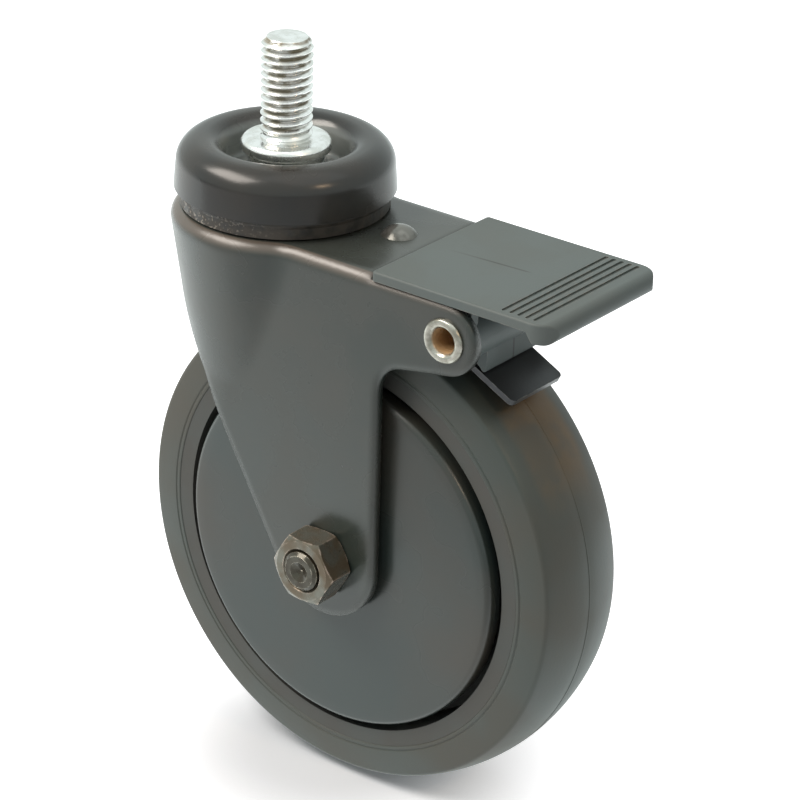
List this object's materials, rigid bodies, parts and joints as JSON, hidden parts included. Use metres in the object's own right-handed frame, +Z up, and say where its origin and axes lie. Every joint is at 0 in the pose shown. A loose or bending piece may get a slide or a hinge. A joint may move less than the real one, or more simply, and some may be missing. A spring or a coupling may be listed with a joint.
{
  "type": "swivel castor",
  "caption": "Swivel castor with a threaded stem, a pressed steel fork, a rubber-tyred wheel and a foot-operated wheel brake.",
  "frame": {"origin": "centre of the stem flange's top face, where it bears on the furniture, on the swivel axis", "axes": "+Z up the threaded stem, +X from the swivel axis towards the wheel axis and the brake pedal, Y along the wheel axis with the nut on the minus Y side"},
  "size_m": [0.127, 0.0604, 0.1841],
  "materials": {
    "stem": "bright zinc plate",
    "cap": "gloss black",
    "race": "satin black",
    "balls": "polished and greased",
    "fork": "satin dark grey, slightly orange-peeled",
    "eyelet": "nickel plate, brassy inside the bore",
    "axle_steel": "blackened and oiled",
    "tyre": "smooth dark grey rubber",
    "core": "moulded black",
    "guard": "satin black",
    "bush": "moulded dark grey",
    "pedal": "satin dark grey",
    "leaf": "blackened spring steel"
  },
  "bodies": {
    "stem": {"threaded_stem": "stem", "dust_cap": "cap", "upper_race": "race", "lower_race": "race"},
    "swivel_fork": {"fork": "fork", "upper_balls": "balls", "lower_balls": "balls", "crown_rivet": "fork", "pivot_tube": "eyelet", "axle_bolt": "axle_steel", "axle_nut": "axle_steel", "axle_sleeve": "axle_steel"},
    "wheel": {"tyre": "tyre", "wheel_core": "core", "near_thread_guard": "guard", "far_thread_guard": "guard", "near_bush": "bush", "far_bush": "bush"},
    "pedal": {"brake_pedal": "pedal"},
    "leaf": {"brake_leaf": "leaf"}
  },
  "joints": [
    {"name": "swivel", "type": "hinge", "parent": "stem", "child": "swivel_fork", "pos_m": [0, 0, 0], "axis": [0, 0, 1], "continuous": true},
    {"name": "wheel_spin", "type": "hinge", "parent": "swivel_fork", "child": "wheel", "pos_m": [0.0315, 0, -0.09525], "axis": [0, 1, 0], "continuous": true},
    {"name": "pedal_press", "type": "hinge", "parent": "swivel_fork", "child": "pedal", "pos_m": [0.0657, 0, -0.0271], "axis": [0, 1, 0], "range_deg": [0, 14]},
    {"name": "leaf_rock", "type": "hinge", "parent": "swivel_fork", "child": "leaf", "pos_m": [0.028, 0, -0.0198], "axis": [0, 1, 0], "range_deg": [0, 2.2]}
  ],
  "couplings": [
    {"joint": "leaf_rock", "follows": "pedal_press", "ratio": 0.152}
  ]
}
